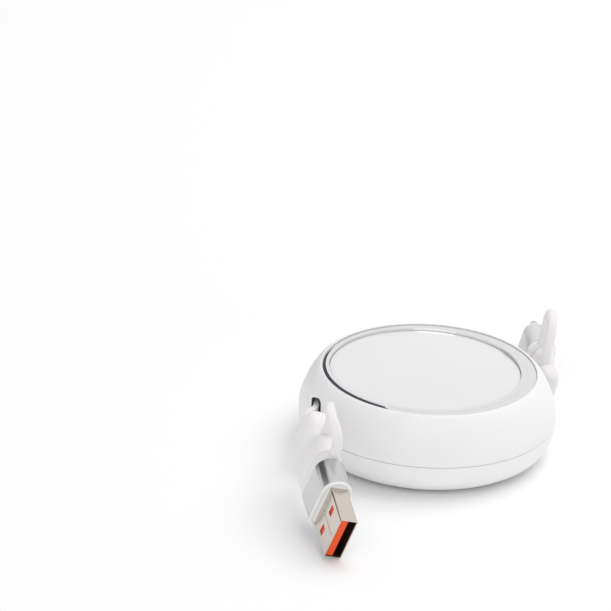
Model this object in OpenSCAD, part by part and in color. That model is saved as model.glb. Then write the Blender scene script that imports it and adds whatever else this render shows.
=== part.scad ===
// Retractable charging cable in a round reel case, with a tethered adapter on each plug.
// Origin: centre of the case's flat base. +Z up, the cable leaves along -Y and +Y.

/* [Case] */
// Largest diameter of the case
case_d = 65.2; // [62:0.2:70]
// Height of the case from its base to the ring lip
case_h = 21.4; // [21:0.1:24]
// Height of the widest point of the case
belly_z = 11.3; // [10:0.1:13]
// Diameter of the flat base
base_d = 39.2; // [34:0.2:44]
// Outer diameter of the bezel ring
ring_d = 54.3; // [52:0.1:56]
// Diameter of the inlay disc
disc_d = 48.5; // [46:0.1:50]
// How far the inlay disc sits off centre, to the left
disc_shift = 1.1; // [0:0.1:1.4]
// Depth of the disc's face below the ring lip
disc_sink = 0.5; // [0.3:0.1:0.9]
// Height of the parting line between the two shells
parting_z = 9.4; // [8.6:0.1:10]

/* [Cable] */
// Width of the flat cable, which stands on edge
cable_w = 7; // [6:0.1:7.6]
// Thickness of the flat cable
cable_t = 1.6; // [1.2:0.1:1.7]
// Distance of the cable slots' centre planes from the reel axis
slot_x = 28.1; // [27.8:0.1:28.4]
// Width of a cable slot
slot_w = 2.2; // [2:0.1:2.6]
// Turns of each cable arm on the drum
coil_turns = 3.5; // [2:0.5:4]

/* [Plug ends] */
// Length of an adapter's metal sleeve
sleeve_len = 8.6; // [8:0.1:10]
// Length of the collar behind the sleeve
collar_len = 3.1; // [2.6:0.1:3.6]
// Length of the USB-A end's soft overmould
usb_grip_len = 16.2; // [14:0.1:17]
// Length of the phone end's soft overmould
phone_grip_len = 14.7; // [13:0.1:15]
// Width of the USB-A end's sleeve
usb_w = 15.4; // [14:0.1:17]
// Thickness of the USB-A end's sleeve
usb_t = 7.8; // [7:0.1:8.6]
// Width of the phone end's sleeve
phone_w = 12; // [11:0.1:13]
// Thickness of the phone end's sleeve
phone_t = 7.6; // [7:0.1:8]
// Length of the USB-A shell that shows
usb_a_len = 11.7; // [11:0.1:12.5]
// Length of the phone tip that shows
tip_len = 7.1; // [6:0.1:7.4]
// Distance between the two legs of a tether
tether_gap = 9; // [8:0.1:10]

/* [Hidden] */

belly_r = case_d / 2;
base_r = base_d / 2;
ring_r = ring_d / 2;
disc_r = disc_d / 2;
rim_r = ring_r + 0.3;
lower_power = 2 / 3.03;
upper_power = 2 / 1.38;
lower_steps = 14;
upper_steps = 12;
parting_gap = 0.12;
lap_r = 31.1;
lap_h = 1.2;
wall_r = 29.9;
floor_z = 1.8;
ceiling_z = 16.8;
seat_z = 18.9;

axle_r = 3;
hub_r = 12.6;
flange_r = 26.9;
flange_z = 6.4;
coil_z = 7.4;
top_flange_z = coil_z + cable_w + 0.1;
cable_pitch = cable_t + 0.12;
coil_step = 8;
fold_y = 4.4;
fold_angle = 20;
spring_r = 17.5;
spring_turns = 9;
tooth_count = 16;
tooth_r = 9.6;
tooth_phase = 13.5;
pawl_x = 14.2;

slot_low = 4.8;
slot_high = 17.65;

// Where each end lies: centre of its sleeve's front face, heading, nose-down angle and lean
usb_at = [-23.60, -55.92, 9.42];
usb_heading = -76.1;
usb_pitch = 14.9;
usb_lean = -14.8;
phone_at = [28.2, 42.8, 10];
phone_heading = 95.5;
phone_pitch = -3.5;
phone_lean = 13;

back_gap = 0.3;
grip_front = -(sleeve_len + collar_len + back_gap);
base_plug_len = 6.65;
base_plug_w = 8.25;
base_plug_t = 2.4;
plug_play = 0.12;
tether_x = grip_front - 2.9;
root_len = 2.4;
usb_a_w = 12;
usb_a_t = 4.5;
usb_a_r = 0.4;

module place_usb() {
    translate(usb_at) rotate([0, 0, usb_heading]) rotate([0, usb_pitch, 0]) rotate([usb_lean, 0, 0]) children();
}

module place_phone() {
    translate(phone_at) rotate([0, 0, phone_heading]) rotate([0, phone_pitch, 0]) rotate([phone_lean, 0, 0])
        children();
}

// A bar along +X whose section is a rounded rectangle, w along Z and t along Y
module bar(x, len, w, t, r) {
    translate([x, 0, 0]) rotate([0, 90, 0]) linear_extrude(len) rounded(w, t, r);
}

module rounded(w, t, r) {
    square([w - 2 * r, t], center = true);
    square([w, t - 2 * r], center = true);
    for (i = [-1, 1], j = [-1, 1]) translate([i * (w / 2 - r), j * (t / 2 - r)]) circle(r, $fn = 32);
}

module stadium(w, t) {
    square([w - t, t], center = true);
    for (i = [-1, 1]) translate([i * (w - t) / 2, 0]) circle(t / 2, $fn = 32);
}

module stadium_bar(x, len, w, t) {
    translate([x, 0, 0]) rotate([0, 90, 0]) linear_extrude(len) stadium(w, t);
}

// Skin of a closed solid through rings of equal point counts
module skin(rings) {
    n = len(rings[0]);
    m = len(rings);
    polyhedron(
        points = [for (ring = rings) each ring],
        faces = concat(
            [[for (i = [n - 1:-1:0]) i]],
            [for (k = [0:m - 2], i = [0:n - 1]) let (j = (i + 1) % n)
                each [[k * n + i, k * n + j, (k + 1) * n + j], [k * n + i, (k + 1) * n + j, (k + 1) * n + i]]],
            [[for (i = [0:n - 1]) (m - 1) * n + i]]
        )
    );
}

// One ring of a soft bar: rounded section at x, w along Z and t along Y, lifted by dz
function soft_ring(x, w, t, dz, power = 0.62) = [
    for (i = [0:23]) let (a = -15 * i, c = cos(a), s = sin(a))
        [x, sign(c) * pow(abs(c), power) * t / 2, sign(s) * pow(abs(s), power) * w / 2 + dz]
];

function unit(v) = v / norm(v);

// The case

// Outer profile: two superellipse arcs that meet at the belly
function lower_arc(i) = let (a = 90 * i / lower_steps)
    [base_r + (belly_r - base_r) * pow(cos(a), lower_power), belly_z * (1 - pow(sin(a), lower_power))];
function upper_arc(i) = let (a = 90 * i / upper_steps)
    [rim_r + (belly_r - rim_r) * pow(cos(a), upper_power), belly_z + (case_h - belly_z) * pow(sin(a), upper_power)];

module case_form() {
    rotate_extrude($fn = 96) polygon(concat(
        [[0, 0]],
        [for (i = [lower_steps:-1:0]) lower_arc(i)],
        [for (i = [1:upper_steps]) upper_arc(i)],
        [[0, case_h]]
    ));
}

// Slots for the flat cable at the left front and the right back, the right one flared wider
module cable_slots() {
    slot_h = slot_high - slot_low;
    for (side = [[0, -4], [180, -9]]) rotate([0, 0, side[0]]) for (flare = [0, side[1]])
        translate([-slot_x, -5, (slot_high + slot_low) / 2]) rotate([90, 0, 0]) rotate([0, flare, 0])
            linear_extrude(24) rotate(90) stadium(slot_h, slot_w);
}

module lower_shell() {
    color("whitesmoke") difference() {
        union() {
            intersection() {
                case_form();
                cylinder(r = belly_r + 1, h = parting_z - parting_gap, $fn = 96);
            }
            translate([0, 0, parting_z - 2]) cylinder(r = lap_r, h = lap_h + 2, $fn = 96);
        }
        rotate_extrude($fn = 96) polygon([
            [0, floor_z], [wall_r - 3.4, floor_z], [wall_r - 0.8, floor_z + 2.2], [wall_r, floor_z + 4],
            [wall_r, parting_z + lap_h + 1], [0, parting_z + lap_h + 1]
        ]);
        cable_slots();
    }
}

module upper_shell() {
    color("whitesmoke") difference() {
        intersection() {
            case_form();
            translate([0, 0, parting_z]) cylinder(r = belly_r + 1, h = case_h, $fn = 96);
        }
        rotate_extrude($fn = 96) polygon([
            [0, parting_z - 1], [lap_r + 0.08, parting_z - 1], [lap_r + 0.08, parting_z + lap_h + 0.1],
            [wall_r, parting_z + lap_h + 0.1], [wall_r, ceiling_z - 2.2], [wall_r - 1.8, ceiling_z], [0, ceiling_z]
        ]);
        translate([0, 0, seat_z]) cylinder(r = ring_r + 0.05, h = case_h, $fn = 96);
        cable_slots();
        translate([pawl_x, 0, ceiling_z - 1]) cylinder(r = 1.02, h = 2.2, $fn = 32);
        translate([0, 0, ceiling_z - 1]) cylinder(r = axle_r + 0.02, h = 2, $fn = 48);
    }
}

// Dished ring with a thin raised lip, bored off centre for the disc
module bezel_ring() {
    lip = 0.35;
    color("silver") difference() {
        rotate_extrude($fn = 96) polygon([
            [0, seat_z], [ring_r, seat_z], [ring_r, case_h - 0.12], [ring_r - 0.12, case_h],
            [ring_r - lip, case_h], [ring_r - lip - 0.15, case_h - 0.22], [0, case_h - 0.22]
        ]);
        translate([-disc_shift, 0, seat_z + 0.5]) cylinder(r = disc_r + 0.04, h = 4, $fn = 96);
        translate([0, 0, seat_z - 1]) cylinder(r = disc_r - 3, h = 4, $fn = 96);
    }
}

// Disc with a broad shallow bevel round its face
module inlay_disc() {
    top = case_h - disc_sink;
    color("white") translate([-disc_shift, 0, 0]) rotate_extrude($fn = 96) polygon([
        [0, seat_z + 0.5], [disc_r, seat_z + 0.5], [disc_r, top - 0.3], [disc_r - 0.2, top - 0.14],
        [disc_r - 2.5, top], [0, top]
    ]);
}

// The reel

module axle_post() {
    color("gainsboro") {
        translate([0, 0, floor_z]) cylinder(r = 5, h = 0.6, $fn = 48);
        translate([0, 0, floor_z]) cylinder(r = axle_r, h = ceiling_z + 1 - floor_z, $fn = 48);
    }
}

// Split washer that holds the reel down on the post
module axle_clip() {
    color("silver") difference() {
        translate([0, 0, top_flange_z + 1.15]) cylinder(r = axle_r + 1.2, h = 0.5, $fn = 48);
        translate([0, 0, top_flange_z]) cylinder(r = axle_r, h = 3, $fn = 48);
        translate([0, -0.8, top_flange_z]) cube([6, 1.6, 3]);
    }
}

// Drum with a cross slot for the cable's fold, its lower flange, and the spring cup below
module reel_drum() {
    cup_r = spring_r + 1.2;
    color("lightgray") difference() {
        union() {
            translate([0, 0, flange_z]) cylinder(r = flange_r, h = coil_z - flange_z, $fn = 96);
            translate([0, 0, flange_z]) cylinder(r = hub_r, h = top_flange_z - flange_z, $fn = 64);
            translate([0, 0, 2.9]) cylinder(r = cup_r, h = flange_z - 2.9, $fn = 64);
        }
        translate([0, 0, 2]) cylinder(r = spring_r, h = flange_z - 3, $fn = 64);
        translate([0, 0, 1]) cylinder(r = axle_r + 0.05, h = 20, $fn = 48);
        cable_fold(hub_r + 1, cable_t + 0.1, cable_w + 1);
    }
}

// The cable's middle, straight across the drum beside the post
module cable_fold(reach, t, w) {
    translate([-reach, fold_y - t / 2, coil_z]) cube([2 * reach, t, w]);
}

module reel_flange() {
    color("lightgray") difference() {
        union() {
            translate([0, 0, top_flange_z]) cylinder(r = flange_r, h = 0.7, $fn = 96);
            translate([0, 0, top_flange_z]) linear_extrude(1.7) ratchet_outline();
        }
        translate([0, 0, 1]) cylinder(r = axle_r + 0.05, h = 20, $fn = 48);
        translate([0, 0, top_flange_z + 0.9]) cylinder(r = axle_r + 1.7, h = 2, $fn = 48);
    }
}

// Saw teeth: each rises along a slope and drops straight back
module ratchet_outline() {
    polygon([
        for (i = [0:tooth_count - 1]) let (a = tooth_phase + 360 * i / tooth_count, b = a + 310 / tooth_count)
            each [[(tooth_r - 1) * cos(a), (tooth_r - 1) * sin(a)], [tooth_r * cos(b), tooth_r * sin(b)]]
    ]);
}

// A point on one arm of the cable at angle a, the two arms lying between each other's turns
function arm_point(a, offset) =
    let (r = hub_r + 0.1 + cable_t / 2 + 2 * cable_pitch * (a + fold_angle) / 360 + offset)
    [-r * cos(a), -r * sin(a)];

// Both arms leave the ends of the fold and wind outwards the same way round
module cable_coil() {
    last = 360 * coil_turns;
    color("white") {
        cable_fold(hub_r + 0.8, cable_t, cable_w);
        translate([0, 0, coil_z]) for (arm = [[0, -fold_angle], [180, fold_angle]]) rotate([0, 0, arm[0]])
            linear_extrude(cable_w) polygon(concat(
                [for (a = [arm[1]:coil_step:last]) arm_point(a, -cable_t / 2)],
                [for (a = [last:-coil_step:arm[1]]) arm_point(a, cable_t / 2)]
            ));
    }
}

// Flat spring wound from the post out to the cup
module spiral_spring() {
    start = 5.6;
    end = spring_r - 0.22;
    function spring_point(a, t) = let (r = start + (end - start) * a / (360 * spring_turns) + t)
        [r * cos(a), r * sin(a)];
    color("slategray") translate([0, 0, 3.3]) linear_extrude(1.9) polygon(concat(
        [for (a = [0:12:360 * spring_turns]) spring_point(a, 0)],
        [for (a = [360 * spring_turns:-12:0]) spring_point(a, 0.22)]
    ));
}

module spring_cover() {
    color("silver") difference() {
        translate([0, 0, 2.5]) cylinder(r = spring_r + 1.2, h = 0.4, $fn = 64);
        translate([0, 0, 2]) cylinder(r = 5.4, h = 2, $fn = 48);
    }
}

// Pawl that drops into the ratchet: a boss on its pin and a pointed finger
module ratchet_pawl() {
    z = top_flange_z + 0.85;
    color("orange") translate([pawl_x, 0, z]) difference() {
        union() {
            cylinder(r = 2, h = 0.85, $fn = 32);
            linear_extrude(0.85) polygon([
                [-1.6, 1.2], [1.6, 1.2], [0.2, 6.2], [-5.1, 6.9], [-6.8, 6.2], [-4.6, 5.3], [-2, 4.6]
            ]);
        }
        translate([0, 0, -1]) cylinder(r = 1.06, h = 3, $fn = 32);
    }
}

module pawl_pin() {
    color("silver") translate([pawl_x, 0, top_flange_z + 0.8]) cylinder(r = 1, h = 2.7, $fn = 32);
}

// The flat leads

// One ring of the flat cable at p, heading along d, its width tipped over by lean
function lead_ring(p, d, lean) =
    let (
        side = unit(cross(d, [0, 0, 1])),
        up = cross(side, d),
        w = up * cos(lean) + side * sin(lean),
        t = side * cos(lean) - up * sin(lean),
        half_w = cable_w / 2,
        half_t = cable_t / 2,
        nip = 0.35
    )
    [for (q = [[-1, -1], [-1, 1], [1, 1], [1, -1]])
        each [for (c = (q[0] * q[1] > 0 ? [[nip, 0], [0, nip]] : [[0, nip], [nip, 0]]))
            p + w * q[0] * (half_w - c[0]) + t * q[1] * (half_t - c[1])]];

module lead(route, lean) {
    last = len(route) - 1;
    skin([for (i = [0:last])
        let (ahead = route[min(i + 1, last)], behind = route[max(i - 1, 0)])
            lead_ring(route[i], unit(ahead - behind), lean * pow(i / last, 2))]);
}

usb_route = [
    [-28.1, 0, 10.9], [-28.1, -5, 11], [-28.1, -9.5, 11.3], [-28.6, -13, 11.9], [-29.6, -17, 13],
    [-30.5, -21, 14.3], [-31, -25, 15.6], [-30.9, -28.5, 16.4], [-30.2, -32, 16.1]
];
phone_route = [
    [28.15, 0, 10.9], [28.15, 5, 10.6], [28.15, 10, 10.1], [28.3, 14, 9.6], [29, 17.5, 9.2], [30.3, 21.5, 8.9]
];

module usb_lead() {
    color("white") lead(usb_route, -14);
}

module phone_lead() {
    color("white") lead(phone_route, 13);
}

// The parts that both ends share

// Soft overmould: a front lobe, a waist that takes the tether, and a rounded rear lobe
module grip(w, t, long) {
    back = grip_front - long;
    skin([
        soft_ring(back, w * 0.62, t * 0.5, 0),
        soft_ring(back + 0.25, w * 0.78, t * 0.68, 0),
        soft_ring(back + 1, w * 0.92, t * 0.86, 0.1),
        soft_ring(back + 2.2, w, t * 0.95, 0.1),
        soft_ring(back + 0.28 * long, w, t * 0.96, 0),
        soft_ring(back + 0.38 * long, w * 0.97, t * 0.9, -0.1),
        soft_ring(back + 0.45 * long, w * 0.9, t * 0.8, -0.5),
        soft_ring(back + 0.56 * long, w * 0.89, t * 0.78, -0.6),
        soft_ring(back + 0.64 * long, w * 0.93, t * 0.86, -0.3),
        soft_ring(back + 0.72 * long, w * 0.97, t * 0.94, 0),
        soft_ring(back + 0.9 * long, w * 0.98, t * 0.96, 0),
        soft_ring(back + 0.97 * long, w * 0.96, t * 0.93, 0),
        soft_ring(back + long, w * 0.9, t * 0.84, 0)
    ]);
}

// Tether: two legs and an arch, turned by twist, leaned over by tilt and bowed sideways by bow.
// Both legs sink by the foot, and a cut round the collar leaves the front one resting on it.
module tether(root_x, root_y, root_z, leg, tilt, twist, bow) {
    arch_r = tether_gap / 2;
    top = leg + arch_r;
    foot = 1.4;
    rear = [for (k = [0:3]) [-arch_r, leg * k / 4 - foot * (1 - k / 3)]];
    arch = [for (a = [180:-15:0]) [arch_r * cos(a), leg + arch_r * sin(a)]];
    front = [for (k = [3:-1:0]) [arch_r, leg * k / 4 - foot * (1 - k / 3)]];
    path = concat(rear, arch, front);
    last = len(path) - 1;
    translate([root_x, root_y, root_z]) rotate([tilt, 0, 0]) rotate([0, 0, twist]) skin([
        for (i = [0:last])
            let (
                d = unit(path[min(i + 1, last)] - path[max(i - 1, 0)]),
                root = max(0, 1 - min(i, last - i) / 3),
                half_t = 1.15 + 0.3 * root * root,
                half_w = 1.3 + 0.4 * root * root,
                rise = max(0, path[i][1]) / top,
                side = 4 * bow * rise * (1 - rise)
            )
            [for (k = [0:9]) let (c = half_t * cos(36 * k), s = half_w * sin(36 * k))
                [path[i][0] - d[1] * c, side + s, path[i][1] + d[0] * c]]
    ]);
}

// The room round a collar that its tether keeps clear
module collar_room(w, t, r) {
    bar(-sleeve_len - collar_len - 0.6, collar_len + 1.5, w - 0.3, t - 0.3, r - 0.15);
}

module base_shell() {
    color("silver") difference() {
        stadium_bar(grip_front, base_plug_len, base_plug_w, base_plug_t);
        stadium_bar(grip_front - 1, base_plug_len + 2, base_plug_w - 0.5, base_plug_t - 0.5);
    }
}

// Insert: a floor at the back and two jaws that leave the middle open for the mating tongue
module base_insert() {
    color("dimgray") difference() {
        stadium_bar(grip_front, base_plug_len - 0.3, base_plug_w - 0.54, base_plug_t - 0.54);
        translate([grip_front + 1.4, -0.4, -3.3]) cube([base_plug_len, 0.8, 6.6]);
    }
}

module plug_way(x, len) {
    stadium_bar(x, len, base_plug_w + 2 * plug_play, base_plug_t + 2 * plug_play);
}

module collar(w, t, r) {
    color("white") difference() {
        union() {
            bar(-sleeve_len - collar_len + 0.5, collar_len - 0.5, w - 0.5, t - 0.5, r - 0.25);
            bar(-sleeve_len - collar_len, 0.5, w - 1.3, t - 1.3, r - 0.65);
        }
        plug_way(-sleeve_len - collar_len - 1, collar_len + 2);
    }
}

module sleeve(w, t, r) {
    wall = 0.6;
    color("lightgray") difference() {
        bar(-sleeve_len, sleeve_len, w, t, r);
        bar(-sleeve_len - 1, sleeve_len + 2, w - 2 * wall, t - 2 * wall, r - wall);
    }
}

// Core: a plug that fills the sleeve, with a lip over its front edge and a fine groove in the face
module core_body(w, t, r) {
    inset = 0.65;
    difference() {
        union() {
            bar(-sleeve_len, sleeve_len, w - 2 * inset, t - 2 * inset, r - inset);
            bar(0, 0.6, w + 0.1, t + 0.1, r + 0.05);
        }
        difference() {
            bar(0.35, 1, w - 1.4, t - 1.4, r - 0.7);
            bar(0, 2, w - 1.9, t - 1.9, r - 0.95);
        }
        plug_way(-sleeve_len - 1, base_plug_len - collar_len + 1);
    }
}

// USB-A end

usb_r = usb_t / 2 - 0.02;
mouth_x = 0.6 + usb_a_len;

module usb_grip() {
    color("white") place_usb() grip(usb_w, usb_t - 0.4, usb_grip_len);
}

module usb_tether() {
    color("white") place_usb() difference() {
        tether(tether_x, 0.6, usb_w / 2 - 0.4, 5.8, 22, -2, 1);
        collar_room(usb_w, usb_t, usb_r);
    }
}

module usb_base_shell() {
    place_usb() base_shell();
}

module usb_base_insert() {
    place_usb() base_insert();
}

module usb_collar() {
    place_usb() collar(usb_w, usb_t, usb_r);
}

module usb_sleeve() {
    place_usb() sleeve(usb_w, usb_t, usb_r);
}

module usb_core() {
    color("white") place_usb() difference() {
        core_body(usb_w, usb_t, usb_r);
        bar(-root_len, root_len + 2, usb_a_w, usb_a_t, usb_a_r);
    }
}

// Folded shell with two windows in each broad side, and down the left one a fold line
// and a butt seam with a round key at each end
module usb_a_shell() {
    wall = 0.3;
    groove = 0.18;
    color("rosybrown") place_usb() difference() {
        bar(-root_len, mouth_x + root_len, usb_a_w, usb_a_t, usb_a_r);
        bar(-root_len - 1, mouth_x + root_len + 2, usb_a_w - 2 * wall, usb_a_t - 2 * wall, usb_a_r / 2);
        for (z = [-3.1, 3.1]) translate([5, -4, z - 1.25]) cube([1.9, 8, 2.5]);
        for (z = [0, usb_a_w / 2 - 0.55]) translate([0.6, groove - usb_a_t / 2 - 1, z - 0.08])
            cube([mouth_x, 1, 0.16]);
        for (x = [3, 11]) translate([x, groove - usb_a_t / 2, 0]) rotate([90, 0, 0])
            cylinder(r = 0.42, h = 1, $fn = 24);
    }
}

module usb_a_tongue() {
    color("orangered") place_usb()
        translate([-root_len, -1.93, -usb_a_w / 2 + 0.45]) cube([mouth_x + root_len - 0.2, 1.84, usb_a_w - 0.9]);
}

// Four contacts, the outer pair longer, on the tongue's open side
module usb_a_contacts() {
    long = 7.4;
    short = 6.4;
    color("gold") place_usb() for (z = [-3.5, -1, 1, 3.5]) {
        l = abs(z) > 2 ? long : short;
        translate([mouth_x - 1 - l, -0.09, z - 0.5]) cube([l, 0.12, 1]);
    }
}

// Phone end

phone_r = 3;
tab_w = 6.7;
tab_t = 1.5;

module phone_grip() {
    color("white") place_phone() grip(phone_w, phone_t - 1.7, phone_grip_len);
}

module phone_tether() {
    color("white") place_phone() difference() {
        tether(tether_x, 0.9, phone_w / 2 - 0.3, 6.4, -6, -3, 0);
        collar_room(phone_w, phone_t, phone_r);
    }
}

module phone_base_shell() {
    place_phone() base_shell();
}

module phone_base_insert() {
    place_phone() base_insert();
}

module phone_collar() {
    place_phone() collar(phone_w, phone_t, phone_r);
}

module phone_sleeve() {
    place_phone() sleeve(phone_w, phone_t, phone_r);
}

module phone_core() {
    color("white") place_phone() difference() {
        core_body(phone_w, phone_t, phone_r);
        translate([-root_len, -tab_t / 2, -tab_w / 2]) cube([root_len + 2, tab_t, tab_w]);
    }
}

// Flat tab with a rounded nose and side notches that a socket's springs catch
module phone_tip() {
    nose = 1.2;
    color("silver") place_phone() difference() {
        translate([0, tab_t / 2, 0]) rotate([90, 0, 0]) linear_extrude(tab_t) union() {
            translate([-root_len, -tab_w / 2]) square([root_len + tip_len + 0.6 - nose, tab_w]);
            translate([-root_len, -tab_w / 2 + nose]) square([root_len + tip_len + 0.6, tab_w - 2 * nose]);
            for (z = [-1, 1]) translate([tip_len + 0.6 - nose, z * (tab_w / 2 - nose)]) circle(nose, $fn = 32);
        }
        for (z = [-1, 1]) translate([3.4, 1, z * (tab_w / 2 + 0.25)]) rotate([90, 0, 0])
            cylinder(r = 0.7, h = 2, $fn = 24);
    }
}

// Eight contacts on each face of the tab
module phone_contacts() {
    pad = 0.4;
    color("gold") place_phone() for (i = [0:7], y = [-1, 1])
        translate([tip_len - 2.6, y * (tab_t / 2 + 0.02) - 0.02, 0.7 * (i - 3.5) - pad / 2]) cube([2.3, 0.04, pad]);
}

lower_shell();
upper_shell();
bezel_ring();
inlay_disc();
axle_post();
axle_clip();
reel_drum();
reel_flange();
cable_coil();
spiral_spring();
spring_cover();
ratchet_pawl();
pawl_pin();
usb_lead();
usb_grip();
usb_tether();
usb_base_shell();
usb_base_insert();
usb_collar();
usb_sleeve();
usb_core();
usb_a_shell();
usb_a_tongue();
usb_a_contacts();
phone_lead();
phone_grip();
phone_tether();
phone_base_shell();
phone_base_insert();
phone_collar();
phone_sleeve();
phone_core();
phone_tip();
phone_contacts();
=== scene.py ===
import bpy
import numpy as np
from mathutils import Matrix


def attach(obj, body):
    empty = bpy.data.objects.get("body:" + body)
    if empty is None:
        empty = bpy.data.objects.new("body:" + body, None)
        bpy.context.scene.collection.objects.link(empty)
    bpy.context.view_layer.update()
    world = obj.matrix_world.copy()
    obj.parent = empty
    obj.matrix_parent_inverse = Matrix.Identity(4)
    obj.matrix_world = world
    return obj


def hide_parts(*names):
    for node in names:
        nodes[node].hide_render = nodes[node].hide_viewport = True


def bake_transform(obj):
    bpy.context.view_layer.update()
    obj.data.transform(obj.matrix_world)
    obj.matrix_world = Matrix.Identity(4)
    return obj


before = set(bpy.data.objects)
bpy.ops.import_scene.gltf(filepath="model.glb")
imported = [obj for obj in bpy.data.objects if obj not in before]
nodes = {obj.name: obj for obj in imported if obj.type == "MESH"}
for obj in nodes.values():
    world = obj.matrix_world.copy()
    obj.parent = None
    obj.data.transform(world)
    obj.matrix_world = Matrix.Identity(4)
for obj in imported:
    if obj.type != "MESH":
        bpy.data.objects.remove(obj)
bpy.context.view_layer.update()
scene = bpy.context.scene
mm = 0.001
print("frame loaded,", len(nodes), "CAD nodes")


# Camera, solved from the outlines of the case and the plug

camera = {
    "focal": 4500.0,                      # pixels
    "frameWidth": 611,                    # pixels
    "sensor": 36,                         # mm
    "eye": (-32.15, -1031.08, 499.72),    # mm
    "lookDown": 24.17,                    # degrees
    "roll": 2.97,                         # degrees
    "clip": (0.05, 20),                   # metres
}


# Looks along y, tipped down, then rolled about the line of sight
def makeCamera(c):
    data = bpy.data.cameras.new("studioCamera")
    data.sensor_width = c["sensor"]
    data.lens = c["sensor"] * c["focal"] / c["frameWidth"]
    data.clip_start, data.clip_end = c["clip"]
    down, roll = np.radians([c["lookDown"], c["roll"]])
    ahead = np.array([0, np.cos(down), -np.sin(down)])
    level = np.array([1.0, 0, 0])
    upright = np.array([0, np.sin(down), np.cos(down)])
    right = np.cos(roll) * level + np.sin(roll) * upright
    up = np.cos(roll) * upright - np.sin(roll) * level
    place = np.eye(4)
    place[:3, :3] = np.stack([right, up, -ahead], axis=1)
    place[:3, 3] = np.array(c["eye"]) * mm
    obj = bpy.data.objects.new("studioCamera", data)
    obj.matrix_world = Matrix(place.tolist())
    scene.collection.objects.link(obj)
    scene.camera = obj


makeCamera(camera)


# Materials. Patterns run on object coordinates in metres, so a scale of 2000 is a grain of 0.5 mm.

noiseSpan = (0.3, 0.7)             # the part of the noise that makes a whole change
usbTurn = (-14.8, 14.9, -76.1)     # lean, pitch and heading of the plug end, degrees about x, y and z
phoneTurn = (13, -3.5, 95.5)


# One Principled shader with its constants on its own sockets
def newMaterial(name, colour, roughness, metallic=0.0, **more):
    mat = bpy.data.materials.new(name)
    mat.use_nodes = True
    shader = mat.node_tree.nodes["Principled BSDF"]
    shader.inputs["Base Color"].default_value = (*colour, 1)
    shader.inputs["Roughness"].default_value = roughness
    shader.inputs["Metallic"].default_value = metallic
    for socket, value in more.items():
        shader.inputs[socket.replace("_", " ")].default_value = value
    return mat


# Noise drawn out by the stretch along axes that are turned by degrees about x, y and z
def noiseIn(mat, scale, detail, stretch=(1, 1, 1), turn=(0, 0, 0)):
    tree = mat.node_tree
    coords = tree.nodes.new("ShaderNodeTexCoord")
    mapping = tree.nodes.new("ShaderNodeMapping")
    mapping.vector_type = "TEXTURE"
    mapping.inputs["Scale"].default_value = stretch
    mapping.inputs["Rotation"].default_value = np.radians(turn)
    noise = tree.nodes.new("ShaderNodeTexNoise")
    noise.inputs["Scale"].default_value = scale
    noise.inputs["Detail"].default_value = detail
    tree.links.new(coords.outputs["Object"], mapping.inputs["Vector"])
    tree.links.new(mapping.outputs["Vector"], noise.inputs["Vector"])
    return noise.outputs["Fac"]


# Roughness that runs from low to high over the noise span
def varyRoughness(mat, signal, low, high):
    tree = mat.node_tree
    node = tree.nodes.new("ShaderNodeMapRange")
    node.inputs["From Min"].default_value = noiseSpan[0]
    node.inputs["From Max"].default_value = noiseSpan[1]
    node.inputs["To Min"].default_value = low
    node.inputs["To Max"].default_value = high
    tree.links.new(signal, node.inputs["Value"])
    tree.links.new(node.outputs["Result"], tree.nodes["Principled BSDF"].inputs["Roughness"])


# Colour that runs from dark to light over the noise span
def varyColour(mat, signal, dark, light):
    tree = mat.node_tree
    ramp = tree.nodes.new("ShaderNodeValToRGB")
    for stop, where, colour in zip(ramp.color_ramp.elements, noiseSpan, (dark, light)):
        stop.position = where
        stop.color = (*colour, 1)
    tree.links.new(signal, ramp.inputs["Fac"])
    tree.links.new(ramp.outputs["Color"], tree.nodes["Principled BSDF"].inputs["Base Color"])


# The same colour with each channel times the share
def dimmed(colour, share):
    return tuple(share * c for c in colour)


# Relief of the given height in mm from a 0 to 1 signal, chained after any bump already there
def addBump(mat, signal, height):
    tree = mat.node_tree
    bump = tree.nodes.new("ShaderNodeBump")
    bump.inputs["Strength"].default_value = 1
    bump.inputs["Distance"].default_value = height * mm
    normal = tree.nodes["Principled BSDF"].inputs["Normal"]
    if normal.links:
        tree.links.new(normal.links[0].from_socket, bump.inputs["Normal"])
    tree.links.new(signal, bump.inputs["Height"])
    tree.links.new(bump.outputs["Normal"], normal)


# Spark-eroded moulding: fine grain in the relief, slow drift in colour and gloss
def mouldedPlastic(name, colour, roughness, grain=0.004, **more):
    mat = newMaterial(name, colour, roughness, **more)
    varyColour(mat, noiseIn(mat, scale=60, detail=3), dimmed(colour, 0.975), colour)
    varyRoughness(mat, noiseIn(mat, scale=900, detail=4), roughness - 0.05, roughness + 0.06)
    addBump(mat, noiseIn(mat, scale=2600, detail=3), grain)
    return mat


# Moulded elastomer: powdery, a little translucent, with faint flow marks
def softRubber(name, colour, roughness):
    mat = newMaterial(name, colour, roughness,
                      Subsurface_Weight=0.12, Subsurface_Scale=0.002, Sheen_Weight=0.12)
    flow = noiseIn(mat, scale=220, detail=4, stretch=(1, 3, 1))
    varyColour(mat, flow, dimmed(colour, 0.97), colour)
    varyRoughness(mat, noiseIn(mat, scale=1400, detail=4), roughness - 0.05, roughness + 0.08)
    addBump(mat, noiseIn(mat, scale=3200, detail=3), 0.005)
    addBump(mat, flow, 0.01)
    return mat


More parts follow.
